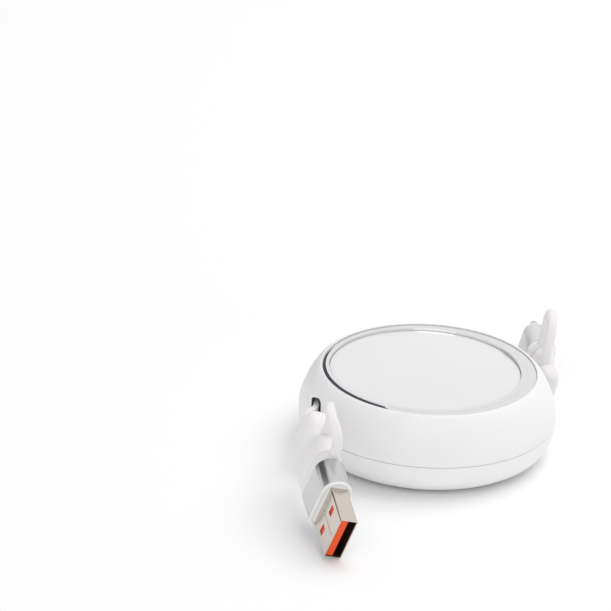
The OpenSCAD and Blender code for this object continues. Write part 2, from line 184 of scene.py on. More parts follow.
# Metal with fine lines drawn along its own x, and a slight haze
def brushedMetal(name, colour, roughness, turn=(0, 0, 0)):
    mat = newMaterial(name, colour, roughness, metallic=1.0)
    lines = noiseIn(mat, scale=6000, detail=3, stretch=(60, 1, 1), turn=turn)
    varyRoughness(mat, lines, roughness - 0.02, roughness + 0.03)
    cloud = noiseIn(mat, scale=160, detail=3, stretch=(4, 1, 1), turn=turn)
    varyColour(mat, cloud, dimmed(colour, 0.98), colour)
    addBump(mat, lines, 0.00004)
    return mat


# Polished plating: almost no haze, with hairline swirls from wiping
def mirrorChrome():
    mat = newMaterial("mirrorChrome", (0.75, 0.75, 0.755), 0.04, metallic=1.0)
    swirls = noiseIn(mat, scale=2400, detail=5, stretch=(1, 5, 1))
    varyRoughness(mat, swirls, 0.03, 0.07)
    varyColour(mat, noiseIn(mat, scale=90, detail=2), (0.74, 0.74, 0.745), (0.76, 0.76, 0.765))
    addBump(mat, swirls, 0.0002)
    return mat


# White sheet under a clear hard coat
def glossDisc():
    mat = newMaterial("glossDisc", (0.76, 0.757, 0.755), 0.16, Coat_Weight=0.8, Coat_Roughness=0.03)
    varyColour(mat, noiseIn(mat, scale=40, detail=2), (0.75, 0.747, 0.745), (0.77, 0.767, 0.765))
    varyRoughness(mat, noiseIn(mat, scale=1500, detail=4), 0.13, 0.2)
    addBump(mat, noiseIn(mat, scale=500, detail=2), 0.0008)
    return mat


caseWhite = mouldedPlastic("caseWhite", (0.9, 0.897, 0.903), 0.4)
trimWhite = mouldedPlastic("trimWhite", (0.9, 0.9, 0.9), 0.3, grain=0.002)
innerPlastic = mouldedPlastic("innerPlastic", (0.62, 0.62, 0.64), 0.38)
orangePlastic = mouldedPlastic("orangePlastic", (0.88, 0.1, 0.022), 0.5,
                               grain=0.002, Specular_IOR_Level=0.25)
blackPlastic = mouldedPlastic("blackPlastic", (0.02, 0.018, 0.017), 0.4)
softWhite = softRubber("softWhite", (0.88, 0.862, 0.868), 0.5)
ribbonWhite = softRubber("ribbonWhite", (0.87, 0.85, 0.855), 0.46)
springSteel = brushedMetal("springSteel", (0.55, 0.56, 0.58), 0.28)
usbSatin = brushedMetal("usbSatin", (0.6, 0.6, 0.603), 0.24, usbTurn)
phoneSatin = brushedMetal("phoneSatin", (0.78, 0.78, 0.783), 0.5, phoneTurn)
usbNickel = brushedMetal("usbNickel", (0.64, 0.58, 0.525), 0.2, usbTurn)
phoneNickel = brushedMetal("phoneNickel", (0.6, 0.55, 0.5), 0.26, phoneTurn)
goldPlate = brushedMetal("goldPlate", (0.9, 0.62, 0.25), 0.22)
# Painted shade: dark dull metal for the faces inside the USB shell, where shade falls in its hollow
plugHollowShade = brushedMetal("plugHollowShade", (0.09, 0.075, 0.066), 0.5)
chrome = mirrorChrome()
discWhite = glossDisc()
print("materials ready")


# Mesh tools, in mm

# Quads between neighbouring grid points. A point's number is its row times the columns, plus its column.
def gridFaces(rows, cols, wrapRows):
    r = np.arange(rows if wrapRows else rows - 1)
    r, c = np.meshgrid(r, np.arange(cols), indexing="ij")
    r2, c2 = (r + 1) % rows, (c + 1) % cols
    return np.stack([r * cols + c, r * cols + c2, r2 * cols + c2, r2 * cols + c], axis=-1).reshape(-1, 4)


# Object from a grid of points, closed round each row. Wrapped rows join the last row to the first, and
# caps close each of them with one face. A flip turns all faces round, where they would point inwards.
def addPiece(name, grid, mat, body=None, wrapRows=False, caps=False, flip=False, sharp=40):
    rows, cols = grid.shape[:2]
    faces = gridFaces(rows, cols, wrapRows).tolist()
    if caps:
        faces += [list(range(cols - 1, -1, -1)), list(range((rows - 1) * cols, rows * cols))]
    if flip:
        faces = [face[::-1] for face in faces]
    mesh = bpy.data.meshes.new(name)
    mesh.from_pydata((grid.reshape(-1, 3) * mm).tolist(), [], faces)
    mesh.validate()
    mesh.shade_smooth()
    mesh.set_sharp_from_angle(angle=np.radians(sharp))
    mesh.materials.append(mat)
    obj = bpy.data.objects.new(name, mesh)
    scene.collection.objects.link(obj)
    if body:
        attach(obj, body)
    return obj


# Turn about one of the axes 0, 1 or 2 by the right-hand rule
def turned(axis, degrees):
    c, s = np.cos(np.radians(degrees)), np.sin(np.radians(degrees))
    m = np.eye(3)
    i, j = (axis + 1) % 3, (axis + 2) % 3
    m[i, i], m[i, j], m[j, i], m[j, j] = c, -s, s, c
    return m


# Cubic through the knots, each with the slope of the line between its two neighbours
def smoothCurve(knots, values, where):
    knots, values = np.asarray(knots, float), np.asarray(values, float)
    slope = np.gradient(values, knots, axis=0)
    k = np.clip(np.searchsorted(knots, where, side="right") - 1, 0, len(knots) - 2)
    span = knots[k + 1] - knots[k]
    t = (where - knots[k]) / span
    if values.ndim > 1:
        t, span = t[:, None], span[:, None]
    return ((2 * t**3 - 3 * t**2 + 1) * values[k] + (t**3 - 2 * t**2 + t) * span * slope[k]
            + (3 * t**2 - 2 * t**3) * values[k + 1] + (t**3 - t**2) * span * slope[k + 1])


# Profile points (radius, height) turned about the vertical axis; the shift moves each ring's centre
def revolve(profile, segments=288, shift=(0, 0)):
    angle = np.linspace(0, 2 * np.pi, segments, endpoint=False)
    profile = np.asarray(profile, float)
    centre = np.zeros((len(profile), 2)) + shift
    x = profile[:, 0:1] * np.cos(angle) + centre[:, 0:1]
    y = profile[:, 0:1] * np.sin(angle) + centre[:, 1:2]
    z = np.repeat(profile[:, 1:2], segments, axis=1)
    return np.stack([x, y, z], axis=-1)


# Quadratic curve from the start to the end, drawn towards the corner between them
def bend(start, corner, end, t):
    return (1 - t)**2 * start + 2 * t * (1 - t) * corner + t**2 * end


# Closed polygon with each corner replaced by a bend that starts and ends a radius away
def roundCorners(points, radii, steps=5):
    points, radii = np.asarray(points, float), np.asarray(radii, float)
    before, after = np.roll(points, 1, axis=0), np.roll(points, -1, axis=0)
    toBefore = (before - points) / np.linalg.norm(before - points, axis=1)[:, None]
    toAfter = (after - points) / np.linalg.norm(after - points, axis=1)[:, None]
    start = (points + toBefore * radii[:, None])[:, None]
    end = (points + toAfter * radii[:, None])[:, None]
    t = np.linspace(0, 1, steps)[None, :, None]
    return bend(start, points[:, None], end, t).reshape(-1, 2)


# Four quarter circles joined by straight sides, thickness along y and width along z
def roundedOutline(width, thick, radius, perCorner=12, perSide=8):
    leastSide = 0.01
    radius = min(radius, (thick - leastSide) / 2, (width - leastSide) / 2)
    angle = np.radians(np.arange(4)[:, None] * 90 + np.linspace(0, 90, perCorner)[None, :])
    sideY = np.array([1, -1, -1, 1])[:, None] * (thick / 2 - radius)
    sideZ = np.array([1, 1, -1, -1])[:, None] * (width / 2 - radius)
    arcs = np.stack([sideY + radius * np.cos(angle), sideZ + radius * np.sin(angle)], axis=-1)
    ends, starts = arcs[:, -1:], np.roll(arcs[:, :1], -1, axis=0)
    t = (np.arange(1, perSide + 1) / (perSide + 1))[None, :, None]
    return np.concatenate([arcs, ends + (starts - ends) * t], axis=1).reshape(-1, 2)


# Takes the cutters out of the object, works that into its mesh and drops the cutters
def cutAway(obj, cutters):
    for cutter in cutters:
        hole = obj.modifiers.new("hole", "BOOLEAN")
        hole.operation, hole.solver, hole.object = "DIFFERENCE", "EXACT", cutter
    bpy.context.view_layer.update()
    depsgraph = bpy.context.evaluated_depsgraph_get()
    mesh = bpy.data.meshes.new_from_object(obj.evaluated_get(depsgraph))
    obj.modifiers.clear()
    whole, obj.data = obj.data, mesh
    bpy.data.meshes.remove(whole)
    for cutter in cutters:
        bpy.data.objects.remove(cutter)


# The case, in mm

case = {
    "bellyR": 32.6, "bellyZ": 11.3, "baseR": 19.6, "rimR": 27.45, "height": 21.4,
    "lowerPower": 2 / 3.03, "upperPower": 2 / 1.38, "axisR": 0.01,
    "partingZ": 9.4, "partingGap": 0.12, "edge": 0.14, "edgeStep": (0.02, 0.056),
    "lapR": 31.1, "lapH": 1.2, "lapGap": (0.08, 0.1), "wallR": 29.9,
    "floorZ": 1.8, "floorCurve": ((0, 4), (0.8, 2.2), (3.4, 0)),    # in from the wall, above the floor
    "ceilingZ": 16.8, "ceilingCurve": ((1.8, 0), (0, 2.2)),         # in from the wall, under the ceiling
    "seatZ": 18.9, "seatGap": 0.05, "ledgeZ": 19.4, "rimStep": 0.1, "sharp": 35,
}
slot = {
    "x": 28.1, "low": 4.8, "high": 17.65, "width": 2.2, "innerY": -4.0, "steep": 3,
    "drop": 1.4, "dropFrom": 0.5, "dropRun": 1.6,                   # the top is lower on the outer side
    "flare": (0.1, 0.7), "rounding": (0.12, 1.35), "rollDepth": 2.8, "lift": 0.02, "beyond": 1.1,
}
ring = {
    "r": 27.15, "band": 1.45, "slope": 0.34, "crown": (0.3, 0.01), "boreGap": 0.04, "ledge": 3,
    "rounding": (0.05, 0.14, 0.3, 0.2, 0.08, 0.02, 0.02, 0.02), "shiftFrom": 0.4,
}
disc = {
    "r": 24.25, "shift": (-1.1, 0.0), "sink": 0.5, "bevel": 2.5, "bevelEnd": 0.2, "bevelDrop": 0.16,
    "crease": 0.02, "rim": ((0.06, 0.24), (0, 0.36)),               # in from the rim, down from the face
}


# Outer radius and height from the base to the rim: one superellipse below the belly and one above it
def caseArc(c, low, high, steps=160):
    a = np.radians(np.linspace(90, 0, steps))
    lowerR = c["baseR"] + (c["bellyR"] - c["baseR"]) * np.cos(a).clip(0)**c["lowerPower"]
    lowerZ = c["bellyZ"] * (1 - np.sin(a).clip(0)**c["lowerPower"])
    b = np.radians(np.linspace(0, 90, steps))[1:]
    upperR = c["rimR"] + (c["bellyR"] - c["rimR"]) * np.cos(b).clip(0)**c["upperPower"]
    upperZ = c["bellyZ"] + (c["height"] - c["bellyZ"]) * np.sin(b).clip(0)**c["upperPower"]
    heights = np.linspace(low, high, steps // 2)
    r = np.interp(heights, np.concatenate([lowerZ, upperZ]), np.concatenate([lowerR, upperR]))
    return np.stack([r, heights], axis=1)


# The same outer radius, looked up at any heights
def caseRadius(c, z):
    arc = caseArc(c, 0, c["height"], steps=400)
    return np.interp(z, arc[:, 1], arc[:, 0])


# Points at the given x and z on the case's front, or lifted off it: y is minus the square root of the
# radius squared less x squared
def onCase(c, x, z, lift=0.0):
    r = caseRadius(c, z) + lift
    return np.stack([x, -np.sqrt(np.maximum(r**2 - x**2, 1)), z], axis=1)


# Solid that cuts one slot: an upright oval whose mouth lies on the case, flared to the outer side, with
# its edge bent over onto the case
def slotCutter(c, s, side):
    half, straight = s["width"] / 2, (s["high"] - s["low"] - s["width"]) / 2
    angle = np.linspace(0, 2 * np.pi, 96, endpoint=False)
    outX, outZ = np.cos(angle), np.sin(angle)
    toEnd = np.clip(outZ * s["steep"], -1, 1)
    x = -s["x"] + half * outX
    fade = np.clip((-s["x"] + s["dropFrom"] - x) / s["dropRun"], 0, 1)
    z = (s["low"] + s["high"]) / 2 + straight * toEnd + half * outZ - s["drop"] * fade * toEnd.clip(0)
    outer = np.clip(-outX, 0, 1)
    roll = s["rounding"][0] + (s["rounding"][1] - s["rounding"][0]) * outer
    mouthX = x - s["flare"][side] * outer
    inner = np.stack([x, np.full_like(x, s["innerY"]), z], axis=1)
    mouth = onCase(c, mouthX, z)
    rolled = onCase(c, mouthX + roll * outX, z + roll * outZ, s["lift"])
    inward = (inner - mouth) / np.linalg.norm(inner - mouth, axis=1)[:, None]
    start = mouth + inward * roll[:, None] * s["rollDepth"]
    rows = [inner, (inner + start) / 2]
    rows += [bend(start, mouth, rolled, t) for t in np.linspace(0, 1, 9)]
    rows.append(rolled * np.array([s["beyond"], s["beyond"], 1]))
    grid = np.stack(rows) @ turned(2, 180 * side).T
    return addPiece("slotCutter", grid, caseWhite, caps=True)


# Both shells as closed profiles turned about the axis: outside, parting edge, lap and inner wall
def makeShells(c):
    edgeIn, edgeDown = c["edgeStep"]
    gapR, gapZ = c["lapGap"]
    lapZ = c["partingZ"] + c["lapH"]
    top = c["partingZ"] - c["partingGap"]
    outside = caseArc(c, 0, top - c["edge"])
    rolled = [[outside[-1, 0] - edgeIn, top - edgeDown], [outside[-1, 0] - c["edge"], top]]
    lap = [[c["lapR"], top], [c["lapR"], lapZ], [c["wallR"], lapZ]]
    inside = [[c["wallR"] - inward, c["floorZ"] + up] for inward, up in c["floorCurve"]]
    floor = [[c["axisR"], c["floorZ"]]]
    profile = np.concatenate([[[c["axisR"], 0]], outside, rolled, lap, inside, floor])
    lower = addPiece("lowerShell", revolve(profile), caseWhite, caps=True)
    low = c["partingZ"]
    outside = caseArc(c, low + c["edge"], c["height"])
    rolled = [[outside[0, 0] - c["edge"], low], [outside[0, 0] - edgeIn, low + edgeDown]]
    seatR = ring["r"] + c["seatGap"]
    seat = [[seatR, c["height"] - c["rimStep"]], [seatR, c["seatZ"]], [c["axisR"], c["seatZ"]]]
    inside = [[c["wallR"] - inward, c["ceilingZ"] - down] for inward, down in c["ceilingCurve"]]
    lap = [[c["wallR"], lapZ + gapZ], [c["lapR"] + gapR, lapZ + gapZ], [c["lapR"] + gapR, low]]
    profile = np.concatenate([[[c["axisR"], c["ceilingZ"]]], inside, lap, rolled, outside, seat])
    upper = addPiece("upperShell", revolve(profile), caseWhite, wrapRows=True)
    for shell in (lower, upper):
        cutAway(shell, [slotCutter(c, slot, side) for side in (0, 1)])
        shell.data.set_sharp_from_angle(angle=np.radians(c["sharp"]))
        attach(shell, "case")
    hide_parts("lower_shell")
    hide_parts("upper_shell")


# Ring with a sloping outer band and a flat top; its bore is off centre, so each circle slides over
def makeRing(g, d, c):
    top, low, ledgeZ = c["height"], c["seatZ"], c["ledgeZ"]
    bore = d["r"] + g["boreGap"]
    flatR, flatZ = g["r"] - g["band"], top - g["crown"][1]
    profile = roundCorners(
        [[g["r"], low], [g["r"], top - g["slope"]], [flatR, top], [flatR - g["crown"][0], flatZ],
         [bore, flatZ], [bore, ledgeZ], [bore - g["ledge"], ledgeZ], [bore - g["ledge"], low]],
        g["rounding"], steps=7)
    inward = g["r"] - g["shiftFrom"] - profile[:, 0]
    share = np.clip(inward / (g["band"] + g["shiftFrom"]), 0, 1)[:, None]
    grid = revolve(profile, segments=360, shift=share * np.array(d["shift"]))
    piece = addPiece("bezelRing", grid, chrome, "case", wrapRows=True)
    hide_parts("bezel_ring")


# Disc with a broad shallow bevel: the face falls by a cosine between the flat and the rim
def makeDisc(d, c):
    top = c["height"] - d["sink"]
    t = np.linspace(0, 1, 14)
    fallR = d["r"] - d["bevel"] + (d["bevel"] - d["bevelEnd"]) * t
    fallZ = top - d["bevelDrop"] * (1 - np.cos(np.pi * t / 2)) - d["crease"] * (t > 0)
    rim = [[d["r"] - inward, top - down] for inward, down in d["rim"]]
    under = [[d["r"], c["ledgeZ"]], [c["axisR"], c["ledgeZ"]]]
    profile = np.concatenate([[[c["axisR"], top]], np.stack([fallR, fallZ], axis=1), rim, under])
    grid = revolve(profile, shift=d["shift"])
    piece = addPiece("inlayDisc", grid, discWhite, "case", caps=True, flip=True, sharp=50)
    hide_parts("inlay_disc")


makeShells(case)
makeRing(ring, disc, case)
makeDisc(disc, case)
print("case done")


# The two plug ends. Local x runs to the tip from the sleeve's front face, z across the width.

usb = {
    "name": "usb", "end": "usb_end", "adapter": "usb_adapter", "metal": usbSatin,
    "at": (-23.60, -55.92, 9.42), "turn": usbTurn,
    "width": 15.4, "thick": 7.8, "corner": 3.88, "hole": (12, 4.5, 0.4), "grip": 16.2, "gripThick": 7.4,
    "root": (-14.9, 0.6, 7.3), "leg": 5.8, "tilt": 22, "twist": -2, "bow": 1.0,
}
phone = {
    "name": "phone", "end": "phone_end", "adapter": "phone_adapter", "metal": phoneSatin,
    "at": (28.2, 42.8, 10.0), "turn": phoneTurn,
    "width": 12.0, "thick": 7.6, "corner": 3.0, "hole": (6.7, 1.5, 0.5), "grip": 14.7, "gripThick": 5.9,
    "root": (-14.9, 0.9, 5.7), "leg": 6.4, "tilt": -6, "twist": -3, "bow": 0.0,
}
ends = {"sleeve": 8.6, "sleeveWall": 0.6, "sleeveEdge": 0.12, "collar": 3.1, "backGap": 0.3}


# The plug's own axes as the columns of a matrix
def facing(end):
    lean, pitch, heading = end["turn"]
    return turned(2, heading) @ turned(1, pitch) @ turned(0, lean)


# Local plug coordinates to the object's frame
def placed(end, grid):
    return grid @ facing(end).T + np.array(end["at"])


# Outlines at their x: one row of points for each (x, width, thickness, corner)
def loft(stations):
    rows = []
    for x, width, thick, corner in stations:
        outline = roundedOutline(width, thick, corner)
        rows.append(np.column_stack([np.full(len(outline), x), outline]))
    return np.stack(rows)


# Stations from (x, inset) pairs: every section is the sleeve's own, drawn in by the inset
def shrunk(end, profile):
    return [(x, end["width"] - 2 * i, end["thick"] - 2 * i, end["corner"] - i) for x, i in profile]


# Sleeve: a thin wall with rounded edges, carried round the section
def makeSleeve(end):
    back, wall, edge = -ends["sleeve"], ends["sleeveWall"], ends["sleeveEdge"]
    profile = roundCorners([[back, 0], [0, 0], [0, wall], [back, wall]], [edge] * 4)
    grid = placed(end, loft(shrunk(end, profile)))
    piece = addPiece(end["name"] + "Sleeve", grid, end["metal"], end["adapter"], wrapRows=True)
    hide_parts(end["name"] + "_sleeve")


# Back and front are pairs of x from that face and inset; the socket is width, thickness and corner
collar = {
    "back": ((0, 0.8), (0.08, 0.6), (0.35, 0.42), (0.6, 0.3), (1.0, 0.22)),
    "front": ((-0.25, 0.2), (-0.08, 0.26), (0, 0.4)),
    "socket": (8.49, 2.64, 1.31),
}


# Collar with a rolled front and back edge and a socket for the base plug
def makeCollar(end, c):
    front = -ends["sleeve"]
    back = front - ends["collar"]
    profile = [(back + x, i) for x, i in c["back"]] + [(front + x, i) for x, i in c["front"]]
    socket = [(front, *c["socket"]), (back, *c["socket"])]
    grid = placed(end, loft(shrunk(end, profile) + socket))
    piece = addPiece(end["name"] + "Collar", grid, softWhite, end["adapter"], wrapRows=True)
    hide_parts(end["name"] + "_collar")


# Lip and groove are pairs of x and inset; the rear hole is width, thickness and corner
core = {
    "lip": ((-0.02, 0.65), (0.0, 0.1), (0.06, -0.03), (0.2, -0.06), (0.4, -0.05), (0.53, 0.02),
            (0.6, 0.14)),
    "groove": ((0.6, 0.58), (0.58, 0.64), (0.5, 0.68), (0.34, 0.69), (0.34, 0.93), (0.5, 0.94),
               (0.58, 0.99), (0.6, 1.06)),
    "inset": 0.65, "face": 0.6, "holeEnd": -2.4, "rearHole": (1.4, 0.4, 0.15),
}


# Core: lip over the sleeve's edge, fine groove, flat plate, and the hole that holds the plug
def makeCore(end, c):
    back = -ends["sleeve"]
    profile = [(back, c["inset"]), *c["lip"], *c["groove"]]
    hole = [(x, *end["hole"]) for x in (c["face"], c["holeEnd"])]
    hole += [(x, *c["rearHole"]) for x in (c["holeEnd"], back)]
    grid = placed(end, loft(shrunk(end, profile) + hole))
    piece = addPiece(end["name"] + "Core", grid, trimWhite, end["adapter"], wrapRows=True, sharp=50)
    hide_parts(end["name"] + "_core")


plug = {
    "root": -2.4, "mouth": 12.3, "width": 12.0, "thick": 4.5, "corner": 0.42, "leastCorner": 0.15,
    "wall": 0.3, "slack": 0.02, "edge": 0.07, "sharp": 30, "over": 1,    # cutters run over the surface
    "windows": {"from": 5.0, "to": 6.9, "centre": 3.1, "half": 1.25, "reach": 4},
    "fold": {"from": 0.3, "at": 5.62, "half": 0.13, "deep": 0.22},
    "seam": {"from": 3.1, "to": 11.2, "half": 0.08, "deep": 0.2},
    "key": ((0.45, -1), (0.45, 0.1), (0.2, 0.12)),    # radius, depth under the side
}


# Closed box between the given limits, as a cutter
def block(x, y, z):
    corners = [(y[0], z[0]), (y[1], z[0]), (y[1], z[1]), (y[0], z[1])]
    grid = np.array([[[end, *corner] for corner in corners] for end in x], float)
    return addPiece("cutter", placed(usb, grid), usbNickel, caps=True)


# Round cutter along y: one ring for each (radius, depth) pair
def keyHole(x, face, rings):
    angle = np.linspace(0, 2 * np.pi, 32, endpoint=False)
    grid = [np.stack([x + r * np.cos(angle), np.full(32, face + deep), r * np.sin(angle)], axis=-1)
            for r, deep in rings]
    return addPiece("cutter", placed(usb, np.stack(grid)), usbNickel, caps=True, flip=True)


# Folded shell: a rounded tube with a rolled mouth, two windows in each broad side, and in the left side
# a fold line along its top and a butt seam between two round keys
def makePlug(p):
    back, mouth, wall = p["root"], p["mouth"], p["wall"]
    corners = [[back, 0], [mouth, 0], [mouth, wall], [back, wall]]
    profile = roundCorners(corners, [p["edge"]] * 4, steps=4)
    stations = [(x, p["width"] - 2 * i, p["thick"] - 2 * i, max(p["corner"] - i, p["leastCorner"]))
                for x, i in profile]
    piece = addPiece("usbShell", placed(usb, loft(stations)), usbNickel, wrapRows=True)
    w, fold, seam = p["windows"], p["fold"], p["seam"]
    face = -p["thick"] / 2
    outside = face - p["over"]
    holes = []
    for side in (-1, 1):
        middle = side * w["centre"]
        holes.append(block((w["from"], w["to"]), (-w["reach"], w["reach"]),
                           (middle - w["half"], middle + w["half"])))
    holes.append(block((fold["from"], mouth + p["over"]), (outside, face + fold["deep"]),
                       (fold["at"] - fold["half"], fold["at"] + fold["half"])))
    holes.append(block((seam["from"], seam["to"]), (outside, face + seam["deep"]),
                       (-seam["half"], seam["half"])))
    holes += [keyHole(x, face, p["key"]) for x in (seam["from"], seam["to"])]
    cutAway(piece, holes)
    mesh = piece.data
    mesh.set_sharp_from_angle(angle=np.radians(p["sharp"]))
    # Faces inside the shell take the dark metal: painted shade in the plug's hollow
    mesh.materials.clear()
    mesh.materials.append(usbNickel)
    mesh.materials.append(plugHollowShade)
    centres = np.zeros(len(mesh.polygons) * 3)
    mesh.polygons.foreach_get("center", centres)
    local = np.abs((centres.reshape(-1, 3) / mm - np.array(usb["at"])) @ facing(usb))
    reach = wall - p["slack"]
    inside = (local[:, 1] < p["thick"] / 2 - reach) & (local[:, 2] < p["width"] / 2 - reach)
    mesh.polygons.foreach_set("material_index", inside.astype(np.int32))
    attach(piece, "usb_adapter")
    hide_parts("usb_a_shell")


# Along, width and thick are shares of the length and of the largest width and thickness
gripShape = {
    "along": (0, 0.01, 0.04, 0.09, 0.16, 0.28, 0.38, 0.46, 0.56, 0.65, 0.74, 0.88, 0.95, 0.985, 1.0),
    "width": (0.66, 0.74, 0.84, 0.93, 0.985, 1.0, 0.985, 0.965, 0.955, 0.965, 0.98, 0.98, 0.97, 0.94, 0.9),
    "thick": (0.52, 0.62, 0.76, 0.88, 0.95, 0.97, 0.93, 0.86, 0.83, 0.87, 0.94, 0.97, 0.96, 0.91, 0.84),
    "power": 0.62,
    "notchAt": 0.5, "notchWide": 0.1, "notchDeep": 1.35,
    "notchSlant": 0.12, "notchSpread": 0.8, "notchThin": 0.16,
    "ribs": 4, "ribsFrom": 1.2, "ribStep": 1.05, "ribHigh": 0.16, "ribTop": -0.35, "ribFade": 0.4,
}


# Soft overmould: superellipse sections along x, closer together at both ends. A notch across the top
# edge slants and fades down the flank, and low ribs run round the bottom edge at the rear.
def makeGrip(end, g):
    share = np.concatenate([np.linspace(0, 0.1, 16, endpoint=False),
                            np.linspace(0.1, 0.9, 60, endpoint=False), np.linspace(0.9, 1, 16)])
    width = smoothCurve(g["along"], g["width"], share) * end["width"]
    thick = smoothCurve(g["along"], g["thick"], share) * end["gripThick"]
    share = share[:, None]
    angle = np.linspace(0, 2 * np.pi, 72, endpoint=False)[None, :]
    cos, sin = np.cos(angle), np.sin(angle)
    back = -ends["sleeve"] - ends["collar"] - ends["backGap"] - end["grip"]
    x = back + share * end["grip"] + np.zeros_like(angle)
    y = np.sign(cos) * np.abs(cos)**g["power"] * thick[:, None] / 2
    z = np.sign(sin) * np.abs(sin)**g["power"] * width[:, None] / 2
    up = z / end["width"] * 2
    slant = g["notchAt"] + g["notchSlant"] * (1 - up)
    spread = g["notchWide"] * (1 + g["notchSpread"] * (1 - up))
    reach = np.clip(up, 0, 1)**2 * (3 - 2 * np.clip(up, 0, 1))
    valley = np.exp(-((share - slant) / spread)**2) * reach
    z = z - g["notchDeep"] * valley
    y = y * (1 - g["notchThin"] * valley)
    first = back + g["ribsFrom"]
    wave = 0.5 - 0.5 * np.cos(2 * np.pi * (x - first) / g["ribStep"])
    ribbed = (x > first) & (x < first + g["ribs"] * g["ribStep"])
    z = z - g["ribHigh"] * wave * ribbed * np.clip(g["ribTop"] - up, 0, g["ribFade"]) / g["ribFade"]
    grid = placed(end, np.stack([x, y, z], axis=-1))
    piece = addPiece(end["name"] + "Grip", grid, softWhite, end["end"], caps=True, sharp=60)
    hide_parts(end["name"] + "_grip")


strap = {
    "gap": 9.0, "foot": 1.4, "halfThick": 1.18, "halfWide": 1.3, "power": 0.85,
    "swell": (0.5, 0.35), "swellRun": 2.1,    # added to both half sizes at a root, and how far it runs
    "stretch": (8, -10),                      # a row counted from each end
}


# Strap on a path of two legs and an arch, bowed sideways by a parabola of the height: an oval section
# that swells into each root
def makeTether(end, s):
    gap, leg = s["gap"] / 2, end["leg"]
    a = np.radians(np.linspace(180, 0, 26))
    arch = np.stack([gap * np.cos(a), leg + gap * np.sin(a)], axis=1)
    t = np.linspace(0, 1, 14, endpoint=False)[:, None]
    rear = np.array([[-gap, -s["foot"]]]) * (1 - t) + arch[:1] * t
    path = np.concatenate([rear, arch, rear[::-1] * np.array([-1, 1])])
    tangent = np.gradient(path, axis=0)
    tangent /= np.linalg.norm(tangent, axis=1)[:, None]
    step = np.linalg.norm(np.diff(path, axis=0), axis=1)
    run = np.concatenate([[0], np.cumsum(step)])
    root = np.exp(-(np.minimum(run, run[-1] - run) / s["swellRun"])**2)[:, None]
    halfT, halfW = s["halfThick"] + s["swell"][0] * root, s["halfWide"] + s["swell"][1] * root
    rise = np.clip(path[:, 1:2], 0, None) / (leg + gap)
    angle = np.linspace(0, 2 * np.pi, 32, endpoint=False)[None, :]
    side = halfT * np.sign(np.cos(angle)) * np.abs(np.cos(angle))**s["power"]
    across = halfW * np.sign(np.sin(angle)) * np.abs(np.sin(angle))**s["power"]
    across = across + 4 * end["bow"] * rise * (1 - rise)
    along, up = path[:, 0:1] - tangent[:, 1:2] * side, path[:, 1:2] + tangent[:, 0:1] * side
    grid = np.stack([along, across, up], axis=-1) @ (turned(0, end["tilt"]) @ turned(2, end["twist"])).T
    grid = placed(end, grid + np.array(end["root"]))
    piece = addPiece(end["name"] + "Tether", grid, softWhite, caps=True, flip=True, sharp=70)
    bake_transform(piece)
    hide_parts(end["name"] + "_tether")


ribbon = {
    "width": 7.0, "thick": 1.6, "corner": 0.55, "rows": 70, "stretch": (29, -8),
    "usb": {
        "route": [(-28.1, 0, 10.9), (-28.1, -5, 11), (-28.1, -9.5, 11.3), (-28.6, -13, 11.9),
                  (-29.6, -17, 13), (-30.5, -21, 14.3), (-31, -25, 15.6), (-30.9, -28.5, 16.4),
                  (-30.2, -32, 16.1)],
        "lean": -14,
    },
    "phone": {
        "route": [(28.15, 0, 10.9), (28.15, 5, 10.6), (28.15, 10, 10.1), (28.3, 14, 9.6),
                  (29, 17.5, 9.2), (30.3, 21.5, 8.9)],
        "lean": 13,
    },
}


# Flat cable: a rounded bar section carried along the smoothed route. Its width tips over by the lean,
# which grows with the square of the way.
def makeLead(end, r):
    route = np.array(r[end["name"]]["route"], float)
    where = np.linspace(0, len(route) - 1, r["rows"])
    path = smoothCurve(np.arange(len(route)), route, where)
    ahead = np.gradient(path, axis=0)
    ahead /= np.linalg.norm(ahead, axis=1)[:, None]
    side = np.cross(ahead, [0, 0, 1.0])
    side /= np.linalg.norm(side, axis=1)[:, None]
    up = np.cross(side, ahead)
    lean = np.radians(r[end["name"]]["lean"] * (where / where[-1])**2)[:, None]
    tall = up * np.cos(lean) + side * np.sin(lean)
    flat = side * np.cos(lean) - up * np.sin(lean)
    outline = roundedOutline(r["width"], r["thick"], r["corner"], perCorner=6, perSide=4)
    grid = path[:, None] + flat[:, None] * outline[None, :, 0:1] + tall[:, None] * outline[None, :, 1:2]
    piece = addPiece(end["name"] + "Lead", grid, ribbonWhite, caps=True, flip=True, sharp=60)
    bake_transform(piece)
    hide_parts(end["name"] + "_lead")


for end in (usb, phone):
    makeLead(end, ribbon)
    makeGrip(end, gripShape)
    makeTether(end, strap)
    makeSleeve(end)
    makeCollar(end, collar)
    makeCore(end, core)
makePlug(plug)
print("plug ends done")


# CAD pieces that stay: the finish and the width of the broken edges in mm

kept = {
    "axle_post": (springSteel, 0.05), "axle_clip": (springSteel, 0.03),
    "reel_drum": (innerPlastic, 0.1), "reel_flange": (innerPlastic, 0.08),
    "cable_coil": (ribbonWhite, 0), "spiral_spring": (springSteel, 0),
    "spring_cover": (springSteel, 0.05), "ratchet_pawl": (innerPlastic, 0.08),
    "pawl_pin": (springSteel, 0.05),
    "usb_base_shell": (usbNickel, 0.05), "usb_base_insert": (blackPlastic, 0.05),
    "usb_a_tongue": (orangePlastic, 0.06), "usb_a_contacts": (goldPlate, 0.02),
    "phone_base_shell": (phoneNickel, 0.05), "phone_base_insert": (blackPlastic, 0.05),
    "phone_tip": (phoneNickel, 0.12), "phone_contacts": (goldPlate, 0.01),
}
brokenEdge = {"weld": 0.002, "from": 40, "segments": 2}    # mm, degrees


